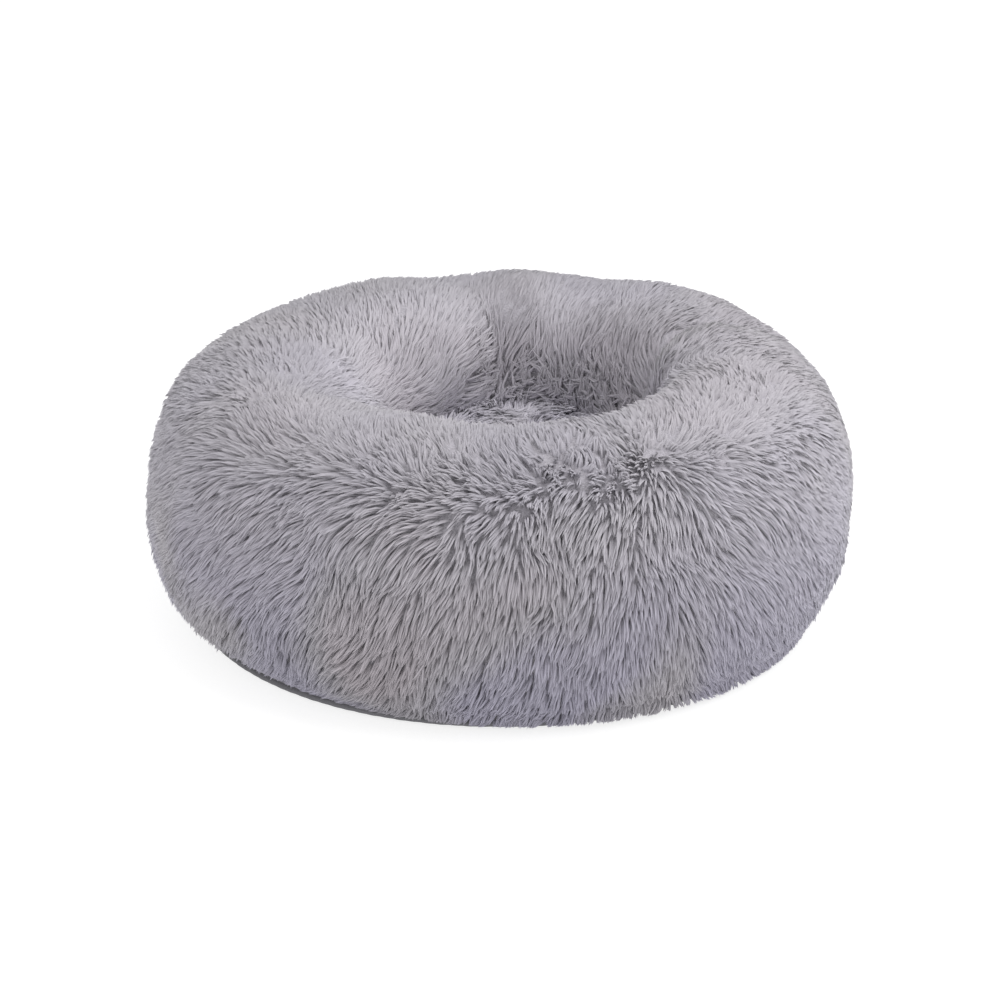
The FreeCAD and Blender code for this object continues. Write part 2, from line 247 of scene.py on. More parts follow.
def skin_point(theta, u):
    """Points of the plush's backing at polar angles theta and profile places u."""
    profile = along_profile(SKIN_PROFILE, u)
    points = round_the_axis(profile[:, 0] - well_wall_shift(theta, u), profile[:, 1], theta)
    free = smoothstep(1.5, 4.0, u) * (1 - smoothstep(12.5, 14, u))
    lumps = 0.0013 * lump_wide(points) + 0.0008 * lump_fine(points)
    wander = np.radians(2.5) * np.sin(1.8 * u)
    for angle, spread, place, reach, push in SETTLING:
        lumps = lumps + push * near_angle(theta + wander, angle, spread) * bell(u, place, reach)
    out = unit(points - round_the_axis(CORE_RADIUS, CORE_HEIGHT, theta))
    return points + out * (lumps * free)[:, None]


def pile_depth(theta, u):
    """How far the pile's tips stand off: more over the zip and at the right of the rim."""
    depth = along_profile(PILE_DEPTH, u)[:, 0]
    low = smoothstep(2.6, 0.4, u)
    right = near_angle(theta, -50, 45)
    left = near_angle(theta, -145, 40)
    depth = depth + low * (0.006 * right - 0.003 * left)
    behind = smoothstep(95, ZIP_REACH, from_zip(theta))
    return depth + behind * np.maximum(ZIP_PILE_DEPTH - depth, 0) * smoothstep(5, 4, u)


def calm_share(theta, u):
    """1 where the pile is smooth and even: over the crest and down the right-hand side."""
    front = near_angle(theta, -82, 36)
    top = smoothstep(6.0 + 1.7 * front, 8.6 + 1.2 * front, u) * (1 - smoothstep(10.5, 12.0, u))
    right = near_angle(theta, -10, 46) * smoothstep(2.6, 4.8, u)
    right = right * (1 - smoothstep(11, 12, u))
    return np.maximum(top, right)


def rough_share(theta, u):
    """1 where the pile hangs in short separate locks, 0 where it does not."""
    front = near_angle(theta, -100, 46)
    front = front * (1 - 0.45 * smoothstep(3.5, 5.5, u)) * (1 - smoothstep(6.5, 8.0, u))
    foot = near_angle(theta, 55, 38) * smoothstep(11.8, 12.8, u)
    crease = 0.8 * near_angle(theta, 98, 8) * smoothstep(10.0, 11.5, u)
    lip = 0.8 * near_angle(theta, -40, 75) * bell(u, 10.3, 0.7)
    return np.maximum(np.maximum(front, foot), np.maximum(crease, lip))


def skin_frame(theta, u):
    """Points of the backing, their normals, and the ways up the profile and round."""
    turn, step = 1e-3, 5e-3
    above, below = np.minimum(u + step, LAST_U), np.maximum(u - step, 0)
    along_u = skin_point(theta, above) - skin_point(theta, below)
    along_theta = skin_point(theta + turn, u) - skin_point(theta - turn, u)
    normal = unit(np.cross(along_theta, along_u))
    return skin_point(theta, u), normal, unit(along_u), unit(along_theta)


def floor_height(radius):
    share = radius / WELL_FLOOR_RADIUS
    return WELL_FLOOR_MIDDLE + (WELL_FLOOR_RIM - WELL_FLOOR_MIDDLE) * share**2


# ---- meshes ----------------------------------------------------------------------------


def add_object(name, data):
    made = bpy.data.objects.new(name, data)
    bpy.context.scene.collection.objects.link(made)
    return made


def mesh_object(name, points, faces, smooth=True):
    mesh = bpy.data.meshes.new(name)
    mesh.from_pydata([tuple(p) for p in points], [], [tuple(f) for f in faces])
    if smooth:
        mesh.shade_smooth()
    mesh.validate()
    return add_object(name, mesh)


def grid_faces(rows, columns, wrap=True):
    """Quads of a grid of points, row after row, closed round the columns if wrap."""
    faces = []
    for r in range(rows - 1):
        a, b = r * columns, (r + 1) * columns
        for c in range(columns if wrap else columns - 1):
            n = (c + 1) % columns
            faces.append((a + c, a + n, b + n, b + c))
    return faces


def ring_faces(rows, columns):
    """Quads of a grid that closes both ways."""
    last = (rows - 1) * columns
    joins = [(last + c, last + (c + 1) % columns, (c + 1) % columns, c) for c in range(columns)]
    return grid_faces(rows, columns) + joins


def capped_faces(rows, columns):
    """Faces of a tube of rings with a cap at each end."""
    last = (rows - 1) * columns
    caps = [tuple(reversed(range(columns))), tuple(range(last, last + columns))]
    return grid_faces(rows, columns) + caps


def slab_faces(rows, columns):
    """Faces of a thin slab: the points of its face, row after row, then those of its back."""
    count = rows * columns
    faces = grid_faces(rows, columns, wrap=False)
    back = [tuple(count + i for i in reversed(face)) for face in faces]
    rim = []
    top = count - columns
    for c in range(columns - 1):
        rim.append((c + 1, c, count + c, count + c + 1))
        rim.append((top + c, top + c + 1, count + top + c + 1, count + top + c))
    for r in range(rows - 1):
        a, b = r * columns, (r + 1) * columns
        rim.append((a, b, count + b, count + a))
        a, b = a + columns - 1, b + columns - 1
        rim.append((b, a, count + a, count + b))
    return faces + back + rim


def closed_tube(name, rings):
    """A closed ring of closed sections: rings is sections x points x 3."""
    faces = [(a, d, c, b) for a, b, c, d in ring_faces(*rings.shape[:2])]
    return mesh_object(name, rings.reshape(-1, 3), faces)


def turned_solid(name, rings, smooth=True):
    """A solid from rings of points, one inside, over or past the next, with end caps."""
    return mesh_object(name, rings.reshape(-1, 3), capped_faces(*rings.shape[:2]), smooth)


def tube_grid(centres, radius, sides, reference, closed):
    """Points and faces of a round tube along centres, its sides set by a reference way."""
    ahead, behind = np.roll(centres, -1, axis=0), np.roll(centres, 1, axis=0)
    if not closed:
        ahead[-1], behind[0] = centres[-1], centres[0]
    tangent = unit(ahead - behind)
    across = unit(np.cross(tangent, reference))
    beside = np.cross(across, tangent)
    turns = full_turn(sides)
    spokes = across[:, None] * np.cos(turns)[None, :, None]
    spokes = spokes + beside[:, None] * np.sin(turns)[None, :, None]
    points = (centres[:, None] + spokes * radius).reshape(-1, 3)
    make_faces = ring_faces if closed else capped_faces
    return points, make_faces(len(centres), sides)


def joined_mesh(name, parts):
    """One object of several point and face lists."""
    points, faces, start = [], [], 0
    for some, their_faces in parts:
        points.append(some)
        faces.extend(tuple(start + i for i in face) for face in their_faces)
        start += len(some)
    return mesh_object(name, np.concatenate(points), faces)


# Along a stitch: places as shares of its length, girths and rises as shares of its radius.
STITCH_SIDES = 5
STITCH_STATIONS = np.array([-0.5, -0.42, -0.2, 0.2, 0.42, 0.5])
STITCH_GIRTHS = np.array([0.45, 1.0, 1.1, 1.1, 1.0, 0.45])
STITCH_RISES = np.array([-0.9, 0.1, 0.5, 0.5, 0.1, -0.9])


def stitch_rows(name, middles, ways, facing, length, radius):
    """Short threads, each arched off the cloth between two holes."""
    parts = []
    for middle, way, out in zip(middles, ways, facing):
        centres = middle + way * (STITCH_STATIONS * length)[:, None]
        centres = centres + out * (STITCH_RISES * radius)[:, None]
        points, faces = tube_grid(centres, 1.0, STITCH_SIDES, out, False)
        hub = np.repeat(centres, STITCH_SIDES, axis=0)
        girths = np.repeat(STITCH_GIRTHS * radius, STITCH_SIDES)[:, None]
        parts.append((hub + (points - hub) * girths, faces))
    return joined_mesh(name, parts)


def stitches_round(name, radius, height, theta, tilt, length, thickness):
    """Stitches round the bed's axis, on cloth that faces outwards and up by the tilt."""
    middles = round_the_axis(radius, height, theta)
    ways = round_the_axis(1.0, 0.0, theta + TURN / 4)
    facing = round_the_axis(math.cos(tilt), math.sin(tilt), theta)
    return stitch_rows(name, middles, ways, facing, length, thickness)


def dress(made, material, nodes=()):
    """Gives a piece its material and its body, and hides the CAD nodes it stands for."""
    made.data.materials.clear()
    made.data.materials.append(material)
    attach(made, BODY)
    if nodes:
        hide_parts(*nodes)
    return made


# ---- materials -------------------------------------------------------------------------


class Shader:
    """A Principled material and a few short ways to add nodes to it."""

    def __init__(self, name, colour, roughness, metallic=0.0, specular=0.5, **sockets):
        self.material = bpy.data.materials.new(name)
        self.material.use_nodes = True
        self.tree = self.material.node_tree
        self.bsdf = self.tree.nodes["Principled BSDF"]
        self.set(self.bsdf, "Base Color", (*colour, 1.0))
        self.set(self.bsdf, "Roughness", roughness)
        self.set(self.bsdf, "Metallic", metallic)
        self.set(self.bsdf, "Specular IOR Level", specular)
        for socket, value in sockets.items():
            self.set(self.bsdf, socket.replace("_", " "), value)
        self.place = self.node("ShaderNodeTexCoord").outputs["Object"]

    def set(self, node, socket, value):
        if isinstance(value, bpy.types.NodeSocket):
            self.tree.links.new(value, node.inputs[socket])
        else:
            node.inputs[socket].default_value = value

    def node(self, kind, inputs=None, **settings):
        made = self.tree.nodes.new(kind)
        for key, value in settings.items():
            setattr(made, key, value)
        for socket, value in (inputs or {}).items():
            self.set(made, socket, value)
        return made

    def math(self, operation, a, b=0.0, c=0.0):
        made = self.node("ShaderNodeMath", {0: a, 1: b, 2: c}, operation=operation)
        return made.outputs[0]

    def add(self, a, b):
        return self.math("ADD", a, b)

    def times(self, a, b, more=0.0):
        """a times b, and more on top."""
        return self.math("MULTIPLY_ADD", a, b, more)

    def noise(self, scale, detail=3.0, roughness=0.55):
        inputs = {"Vector": self.place, "Scale": scale, "Detail": detail, "Roughness": roughness}
        return self.node("ShaderNodeTexNoise", inputs).outputs["Fac"]

    def map_range(self, value, *ends):
        """Takes the range between the first two ends to the range between the last two."""
        return self.node("ShaderNodeMapRange", dict(enumerate((value, *ends)))).outputs[0]

    def by_height(self, *ends):
        return self.map_range(self.axes()[2], *ends)

    def grey(self, level):
        return self.node("ShaderNodeCombineColor", {0: level, 1: level, 2: level}).outputs[0]

    def attribute(self, name):
        return self.node("ShaderNodeAttribute", attribute_name=name).outputs["Fac"]

    def ramp(self, factor, stops):
        made = self.node("ShaderNodeValToRGB", {"Fac": factor})
        ramp = made.color_ramp
        while len(ramp.elements) < len(stops):
            ramp.elements.new(0.5)
        for element, (place, colour) in zip(ramp.elements, stops):
            element.position = place
            element.color = (*colour, 1.0)
        return made.outputs["Color"]

    def mix(self, factor, a, b, blend="MIX"):
        made = self.node("ShaderNodeMix", data_type="RGBA", blend_type=blend)
        self.set(made, "Factor", factor)
        self.set(made, 6, a if isinstance(a, bpy.types.NodeSocket) else (*a, 1.0))
        self.set(made, 7, b if isinstance(b, bpy.types.NodeSocket) else (*b, 1.0))
        return made.outputs[2]

    def axes(self):
        return self.node("ShaderNodeSeparateXYZ", {0: self.place}).outputs

    def round_way(self, radius):
        """Metres round the bed's axis."""
        x, y, _ = self.axes()
        return self.times(self.math("ARCTAN2", y, x), radius)

    def ribs(self, value, pitch):
        """A wave from 0 to 1 that repeats every pitch metres."""
        wave = self.math("SINE", self.times(value, TURN / pitch))
        return self.times(wave, 0.5, 0.5)

    def weave(self, a, b, pitch):
        """Threads over and under each other along two ways."""
        over = self.times(self.ribs(a, pitch), 2.0, -1.0)
        under = self.times(self.ribs(b, pitch), 2.0, -1.0)
        return self.times(self.times(over, under), 0.5, 0.5)

    def colour(self, socket):
        self.set(self.bsdf, "Base Color", socket)

    def roughness(self, socket):
        self.set(self.bsdf, "Roughness", socket)

    def bump(self, height, strength, distance):
        made = self.node(
            "ShaderNodeBump", {"Height": height, "Strength": strength, "Distance": distance}
        )
        self.set(self.bsdf, "Normal", made.outputs["Normal"])


def fur_material():
    s = Shader("fur", (0.4, 0.39, 0.42), 0.62, specular=0.32, Sheen_Weight=0.25, Sheen_Roughness=0.5)
    # Each strand is darker towards its root: painted shade deep in the pile, between the strands.
    root, middle, tip = (0.344, 0.329, 0.360), (0.456, 0.436, 0.475), (0.527, 0.504, 0.548)
    base = s.ramp(s.attribute("along"), [(0.0, root), (0.5, middle), (1.0, tip)])
    patches = s.add(s.noise(6.5, detail=1.0), s.by_height(0.0, 0.09, 0.13, 0.0))
    warm, plain, lilac = (1.035, 0.985, 0.975), (1.0, 1.0, 1.0), (0.965, 0.965, 1.09)
    tint = s.ramp(patches, [(0.36, warm), (0.47, plain), (0.60, lilac)])
    near_floor = s.by_height(0.03, 0.16, 1.0, 0.2)
    tinted = s.mix(near_floor, base, s.mix(1.0, base, tint, "MULTIPLY"))
    # Painted shade by height: the pile is darker towards the bottom and lighter towards the crest.
    low = s.by_height(0.0, 0.155, 0.625, 0.84)
    # Each strand's shade attribute adds its own tone and the wall's painted light and shade.
    level = s.times(s.attribute("shade"), 0.16, low)
    # Painted shade: the very top of the crest is made a little darker.
    level = s.times(level, s.by_height(0.18, 0.215, 1.0, 0.955))
    s.colour(s.mix(1.0, tinted, s.grey(level), "MULTIPLY"))
    return s.material


def backing_material():
    s = Shader("plush_backing", (0.3, 0.29, 0.31), 0.9, specular=0.1)
    wool = s.noise(520.0, detail=2.0)
    base = s.ramp(wool, [(0.3, (0.28, 0.268, 0.293)), (0.7, (0.40, 0.383, 0.417))])
    # Painted shade by height: the backing is darker low down and lighter towards the crest.
    level = s.by_height(0.06, 0.17, 0.85, 1.30)
    s.colour(s.mix(1.0, base, s.grey(level), "MULTIPLY"))
    s.bump(wool, 0.7, 0.0015)
    return s.material


def nonwoven_material():
    s = Shader("nonwoven", (0.7, 0.7, 0.68), 0.85, specular=0.2, Sheen_Weight=0.1)
    x, y, _ = s.axes()
    pressed = s.math("POWER", s.weave(x, y, 0.0024), 3.0)
    cloud = s.noise(60.0, detail=4.0)
    base = s.ramp(cloud, [(0.3, (0.62, 0.62, 0.60)), (0.7, (0.76, 0.76, 0.74))])
    s.colour(s.mix(s.times(pressed, 0.35), base, (0.5, 0.5, 0.49)))
    s.bump(s.math("SUBTRACT", s.times(cloud, 0.5), pressed), 0.5, 0.0004)
    return s.material


def oxford_material():
    s = Shader("oxford_cloth", (0.1, 0.1, 0.11), 0.7, specular=0.3)
    x, y, _ = s.axes()
    threads = s.weave(x, y, 0.0013)
    slub = s.noise(180.0, detail=3.0)
    base = s.ramp(threads, [(0.1, (0.055, 0.054, 0.060)), (0.9, (0.125, 0.122, 0.132))])
    dusty = s.ramp(s.noise(9.0), [(0.45, (1.0, 1.0, 1.0)), (0.75, (1.5, 1.46, 1.4))])
    s.colour(s.mix(0.8, base, dusty, "MULTIPLY"))
    s.roughness(s.times(slub, 0.3, 0.5))
    s.bump(s.add(threads, s.times(slub, 0.6)), 0.6, 0.0003)
    return s.material


def piping_material():
    s = Shader("piping_cloth", (0.12, 0.118, 0.128), 0.75, specular=0.25)
    _, _, z = s.axes()
    way = s.round_way(PIPING_RADIUS)
    bias_a, bias_b = s.add(way, z), s.math("SUBTRACT", way, z)
    threads = s.weave(bias_a, bias_b, 0.0011)
    worn = s.noise(45.0, detail=4.0)
    base = s.ramp(threads, [(0.1, (0.085, 0.083, 0.092)), (0.9, (0.17, 0.167, 0.182))])
    s.colour(s.mix(s.times(worn, 0.4), base, (0.23, 0.226, 0.24)))
    s.bump(s.add(threads, worn), 0.5, 0.0003)
    return s.material


def thread_material(name, dark, light):
    s = Shader(name, light, 0.6, specular=0.35, Sheen_Weight=0.2)
    x, y, z = s.axes()
    twist = s.ribs(s.add(s.add(x, y), z), 0.0006)
    s.colour(s.ramp(s.add(twist, s.noise(300.0)), [(0.4, dark), (1.0, light)]))
    s.bump(twist, 0.4, 0.0001)
    return s.material


def rubber_material():
    s = Shader("dot_rubber", (0.05, 0.05, 0.055), 0.5, specular=0.4)
    grain = s.noise(700.0, detail=3.0)
    s.colour(s.ramp(s.noise(40.0), [(0.35, (0.038, 0.038, 0.042)), (0.7, (0.085, 0.084, 0.09))]))
    s.roughness(s.times(grain, 0.35, 0.35))
    s.bump(grain, 0.3, 0.0002)
    return s.material


def satin_material():
    s = Shader("label_satin", (0.8, 0.8, 0.79), 0.35, specular=0.5, Sheen_Weight=0.3)
    x, y, _ = s.axes()
    line = s.ribs(s.times(x, 0.5, s.times(y, 0.866)), 0.0004)
    sheen = s.times(line, 0.5, s.noise(90.0))
    s.colour(s.ramp(sheen, [(0.4, (0.70, 0.70, 0.69)), (1.0, (0.84, 0.84, 0.83))]))
    s.roughness(s.times(line, 0.2, 0.25))
    s.bump(line, 0.3, 0.0001)
    return s.material


def tape_material():
    s = Shader("zip_tape", (0.2, 0.196, 0.21), 0.7, specular=0.25)
    _, _, z = s.axes()
    way = s.round_way(TAPE_RADII[1])
    swing = s.times(s.ribs(z, 0.0032), 0.0016)
    zigzag = s.math("ABSOLUTE", s.math("SUBTRACT", swing, 0.0008))
    twill = s.ribs(s.add(way, zigzag), 0.0009)
    base = s.ramp(twill, [(0.1, (0.13, 0.127, 0.138)), (0.9, (0.235, 0.23, 0.247))])
    s.colour(s.mix(s.times(s.noise(120.0), 0.5), base, (0.26, 0.255, 0.27)))
    s.bump(twill, 0.6, 0.0002)
    return s.material


def coil_material():
    s = Shader("zip_coil", (0.2, 0.196, 0.21), 0.3, specular=0.5)
    tone = s.noise(250.0, detail=2.0)
    s.colour(s.ramp(tone, [(0.35, (0.165, 0.161, 0.175)), (0.7, (0.25, 0.245, 0.262))]))
    s.roughness(s.times(tone, 0.3, 0.2))
    return s.material


def metal_material(name, bright, dull, paint=None):
    """Bare metal, or metal under paint that has worn through in small chips."""
    s = Shader(name, bright, 0.3, metallic=1.0)
    haze = s.noise(500.0, detail=4.0)
    metal = s.ramp(haze, [(0.3, dull), (0.7, bright)])
    s.roughness(s.times(haze, 0.3, 0.2))
    if paint is None:
        s.colour(metal)
    else:
        chips = s.noise(420.0, detail=5.0, roughness=0.7)
        bare = s.map_range(chips, 0.66, 0.69, 0.0, 1.0)
        shade = tuple(0.7 * channel for channel in paint)
        s.colour(s.mix(bare, s.ramp(haze, [(0.3, shade), (0.7, paint)]), metal))
        s.set(s.bsdf, "Metallic", bare)
    s.bump(haze, 0.15, 0.0001)
    return s.material


# ---- fur -------------------------------------------------------------------------------

# A strand's rings of points: their places along it and their radii.
SIDES = 3
RING_PLACES = np.array([0.0, 0.34, 0.60, 0.84])
RING_WIDTHS = np.array([0.0010, 0.00122, 0.00110, 0.00066])
RINGS = len(RING_PLACES)


def strand_topology():
    """Loops of one closed strand: three rows of quads, a tip of triangles and a root cap."""
    loops, starts, along_u, along_v = [], [], [], []

    def face(*corners):
        starts.append(len(loops))
        for vertex, u, v in corners:
            loops.append(vertex)
            along_u.append(u)
            along_v.append(v)

    for ring in range(RINGS - 1):
        for side in range(SIDES):
            a, b = ring * SIDES + side, ring * SIDES + (side + 1) % SIDES
            u0, u1 = side / SIDES, (side + 1) / SIDES
            v0, v1 = RING_PLACES[ring], RING_PLACES[ring + 1]
            face((a, u0, v0), (b, u1, v0), (b + SIDES, u1, v1), (a + SIDES, u0, v1))
    top, tip = (RINGS - 1) * SIDES, RINGS * SIDES
    for side in range(SIDES):
        u0, u1 = side / SIDES, (side + 1) / SIDES
        v0 = RING_PLACES[-1]
        face(
            (top + side, u0, v0),
            (top + (side + 1) % SIDES, u1, v0),
            (tip, (u0 + u1) / 2, 1.0),
        )
    face((2, 0.0, 0.0), (1, 0.5, 0.0), (0, 1.0, 0.0))
    return (np.array(x) for x in (loops, starts, along_u, along_v))


STRAND_LOOPS, STRAND_STARTS, STRAND_U, STRAND_V = strand_topology()
STRAND_POINTS = RINGS * SIDES + 1


def fur_object(name, root, bend, tip, facing, width, shade, calm):
    """One mesh of closed tapering strands, each a curve from root to tip past bend."""
    count = len(root)
    t = RING_PLACES[None, :, None]
    centres = root[:, None] * (1 - t) ** 2 + bend[:, None] * 2 * t * (1 - t) + tip[:, None] * t**2
    tangent = unit((bend - root)[:, None] * (1 - t) + (tip - bend)[:, None] * t)
    rng = np.random.default_rng(len(name) * 7919 + count)
    # Square to the plane each strand curves in, so that its rings never twist or pinch.
    across = unit(np.cross(bend - root, tip - bend) + rng.normal(scale=1e-7, size=(count, 3)))
    across = across[:, None]
    beside = np.cross(tangent, across)
    first = rng.uniform(0, TURN, count)[:, None, None]
    points = np.empty((count, STRAND_POINTS, 3))
    for side in range(SIDES):
        turn = first + TURN * side / SIDES
        spoke = across * np.cos(turn) + beside * np.sin(turn)
        reach = RING_WIDTHS[None, :, None] * width[:, None, None]
        points[:, side : RINGS * SIDES : SIDES] = centres + spoke * reach
    points[:, -1] = tip
    normals = soft_normals(points, centres, facing, (0.36 - 0.31 * calm)[:, None, None])
    mesh = bpy.data.meshes.new(name)
    mesh.vertices.add(count * STRAND_POINTS)
    fill(mesh.vertices, "co", points)
    offsets = np.arange(count)[:, None]
    loops = STRAND_LOOPS[None] + offsets * STRAND_POINTS
    starts = STRAND_STARTS[None] + offsets * len(STRAND_LOOPS)
    mesh.loops.add(loops.size)
    fill(mesh.loops, "vertex_index", loops, np.int32)
    mesh.polygons.add(starts.size)
    fill(mesh.polygons, "loop_start", starts, np.int32)
    mesh.update(calc_edges=True)
    mesh.shade_smooth()
    add_values(mesh, "custom_normal", normals, "FLOAT_VECTOR", "vector")
    add_bake_map(mesh, count)
    along = np.append(np.repeat(RING_PLACES, SIDES), 1.0)[None, :]
    # Where the pile is calm the roots take more of the tips' colour: less painted shade between the
    # strands.
    along = 1 - (1 - along) * (1 - 0.85 * calm)[:, None]
    add_values(mesh, "along", along)
    # The shade attribute holds each strand's own tone together with its painted light and shade.
    add_values(mesh, "shade", np.repeat(shade, STRAND_POINTS))
    return add_object(name, mesh)


def soft_normals(points, centres, facing, roundness):
    """Normals between each strand's own roundness and the way the cloth faces."""
    around = np.repeat(centres, SIDES, axis=1)
    own = unit(points[:, :-1] - around)
    soft = unit(own * roundness + facing[:, None] * (1 - roundness))
    return np.concatenate([soft, facing[:, None]], axis=1)


def fill(items, field, values, kind=np.float32):
    items.foreach_set(field, values.reshape(-1).astype(kind))


def add_values(mesh, name, values, kind="FLOAT", field="value"):
    fill(mesh.attributes.new(name, kind, "POINT").data, field, values)


def add_bake_map(mesh, count):
    """A UV map with a small upright cell for each strand, in rows."""
    columns = max(1, round(math.sqrt(count * 2.4)))
    rows = math.ceil(count / columns)
    cell = np.arange(count)
    left, low = cell % columns, cell // columns
    u = (left[:, None] + 0.12 + 0.76 * STRAND_U[None]) / columns
    v = (low[:, None] + 0.08 + 0.84 * STRAND_V[None]) / rows
    fill(mesh.uv_layers.new(name="OFBake").uv, "vector", np.stack([u, v], axis=2))


eddy_up, eddy_round = Waves(11, 0.075), Waves(12, 0.075)
curl_up, curl_round = Waves(21, 0.026), Waves(22, 0.026)
tuft_up, tuft_round = Waves(41, 0.014), Waves(42, 0.014)

# How the pile is brushed at polar angles: round the bed (+ is anticlockwise), the profile
# place where it parts (below it the pile points down the outside, above it into the well),
# and how wide that parting is.
BRUSH_TABLE = np.array(
    [
        (-180, -0.65, 10.5, 3.0),
        (-150, -0.65, 8.6, 2.2),
        (-120, -0.50, 7.6, 1.6),
        (-100, -0.38, 7.6, 1.3),
        (-90, -0.20, 7.65, 1.2),
        (-82, -0.22, 7.7, 1.2),
        (-74, -0.42, 7.8, 1.2),
        (-66, -0.36, 8.1, 1.2),
        (-61, 0.0, 8.2, 1.2),
        (-53, 0.40, 8.1, 1.3),
        (-38, 0.50, 7.9, 1.6),
        (-18, 0.45, 8.3, 2.2),
        (0, 0.15, 13.0, 3.0),
        (18, 0.05, 15.0, 3.0),
        (60, -0.18, 15.0, 3.0),
        (90, -0.45, 15.0, 3.0),
        (120, -0.60, 15.0, 3.0),
        (150, -0.65, 13.5, 3.0),
        (180, -0.65, 10.5, 3.0),
    ]
)


def lay_of_pile(at, theta, u, up_way, round_way):
    """How the pile lies on the cloth: 0 stands on end, 1 is brushed flat."""
    degrees = angle_from(theta, 0)
    angles, rounds, places, widths = BRUSH_TABLE.T
    place, width = np.interp(degrees, angles, places), np.interp(degrees, angles, widths)
    up = np.tanh((u - place) / width)
    drawn = 3.2 * np.clip(place - u, 0, 5) * bell(degrees, -82, 14)
    brushed = np.interp(degrees + drawn, angles, rounds)
    tangle = 1 + 0.7 * bell(degrees, -78, 7) * bell(u, 8.0, 0.8)
    tangle = tangle + 1.5 * bell(degrees, 40, 25) * smoothstep(12.2, 13.2, u)
    up = up + (0.16 * eddy_up(at) + 0.12 * curl_up(at)) * tangle
    brushed = brushed + (0.18 * eddy_round(at) + 0.12 * curl_round(at)) * tangle
    # The long tufts at the foot of the well's back stand every way.
    rough = bell(degrees, 52, 40) * smoothstep(11.6, 12.8, u)
    rough = rough + 0.5 * bell(degrees, 98, 8) * smoothstep(10.0, 11.5, u)
    up = up + 1.1 * rough * tuft_up(at)
    brushed = brushed + 1.1 * rough * tuft_round(at)
    size = np.hypot(up, brushed)
    flat = np.tanh(size / 0.62) / np.maximum(size, 1e-6)
    return up_way * (up * flat)[:, None] + round_way * (brushed * flat)[:, None]


def wall_locks():
    """Jittered rows of locks over the wall: polar angle and profile place of each."""
    rng = np.random.default_rng(101)
    fine = np.linspace(0, LAST_U, 600)
    line = along_profile(SKIN_PROFILE, fine)
    length = np.concatenate([[0], np.cumsum(np.linalg.norm(np.diff(line, axis=0), axis=1))])
    rows = int(length[-1] / LOCK_SPACING)
    theta, u = [], []
    for row in range(rows):
        middle = (row + 0.5) / rows * length[-1]
        radius = np.interp(middle, length, line[:, 0])
        count = int(TURN * radius / LOCK_SPACING)
        places = (np.arange(count) + rng.uniform(-JITTER, JITTER, count) + 0.5 * (row % 2)) / count
        spread = middle + rng.uniform(-JITTER, JITTER, count) * LOCK_SPACING
        theta.append(places * TURN)
        u.append(np.interp(spread, length, fine))
    return np.concatenate(theta) % TURN, np.concatenate(u)


def tuft_middles(at, rng):
    """The middle of each lock's tuft: the nearest of a few locks picked at random."""
    middles = at[rng.random(len(at)) < 1 / LOCKS_PER_TUFT]
    tree = KDTree(len(middles))
    for number, middle in enumerate(middles):
        tree.insert(middle, number)
    tree.balance()
    return np.array([tree.find(point)[0] for point in at])


def spread_strands(at, normal, lay, depth, calm, rough, landing, seed):
    """Strands of each lock: they rise off the cloth and bend over the way the pile lies.

    calm is 1 where the pile is smooth and even, rough is 1 where it parts into short locks.
    landing gives, for each lock's sweep in metres, the cloth its tips lie over, the way that
    cloth faces and its pile's depth, so that the pile follows the bed's curves.
    """
    rng = np.random.default_rng(seed)
    count = len(at)
    evenness = 0.92 + 0.05 * calm - 0.10 * rough
    stand = rng.uniform(evenness, 1.02, count)
    sweep = LAID_REACH * rng.uniform(0.8, 1.15, count) * (1 - 0.22 * rough)
    under, above, deep = landing(sweep)
    side = unit(np.cross(normal, rng.normal(size=(count, 3))))
    other = np.cross(normal, side)
    tone = rng.beta(2.2, 2.2, count)
    drawn = np.clip(0.22 + 0.45 * rough - 0.22 * calm, 0, 1)[:, None]
    drawn = (tuft_middles(at, rng) - at) * drawn
    upright = 1 - np.linalg.norm(lay, axis=1)
    parts = []
    for strand in range(STRANDS_PER_LOCK):
        turn = TURN * (strand + rng.uniform(0, 0.6, count)) / STRANDS_PER_LOCK
        off = LOCK_SPACING * rng.uniform(0.2, 0.5, count)
        spread = (side * np.cos(turn)[:, None] + other * np.sin(turn)[:, None]) * off[:, None]
        height = (stand * rng.uniform(evenness, 1.0, count))[:, None]
        share = rng.uniform(0.85, 1.1, count)[:, None]
        gather = (rng.uniform(0.0, 0.5, count) + 0.3 * calm - 0.25 * rough)[:, None]
        root = at + spread - normal * BACKING_THICKNESS
        bend = root + normal * height * depth[:, None] * 0.9 + lay * sweep[:, None] * share * 0.18
        bend = bend + rng.normal(scale=0.0007, size=(count, 3))
        tip = at + (under - at) * share + spread * gather + above * height * deep[:, None]
        bend, tip = bend + drawn * 0.35, tip + drawn
        stray = 0.0004 + 0.0007 * rough[:, None]
        tip = tip + rng.normal(size=(count, 3)) * stray
        width = rng.uniform(0.8, 1.15, count) * (0.90 + 0.52 * calm)
        shade = np.clip(tone + rng.normal(scale=0.12, size=count), 0, 1)
        # Calm pile varies less in tone; locks standing on end are lightened: painted light on the
        # dark gaps between their tips.
        shade = 0.5 + (shade - 0.5) * (1 - 0.75 * calm) + 0.8 * upright
        parts.append((root, bend, tip, normal, width, shade, calm, np.arange(count)))
    return [np.concatenate(column) for column in zip(*parts)]


def clear_zip(bend, tip, theta):
    """Lifts the fringe above the zip out of the slider's and the pull's path, in place."""
    here = from_zip(theta) < ZIP_REACH
    for points in (bend, tip):
        radius = np.hypot(points[:, 0], points[:, 1])
        low = here & (points[:, 2] < ZIP_CLEAR_HEIGHT) & (radius < ZIP_CLEAR_RADIUS)
        points[low, 2] = ZIP_CLEAR_HEIGHT


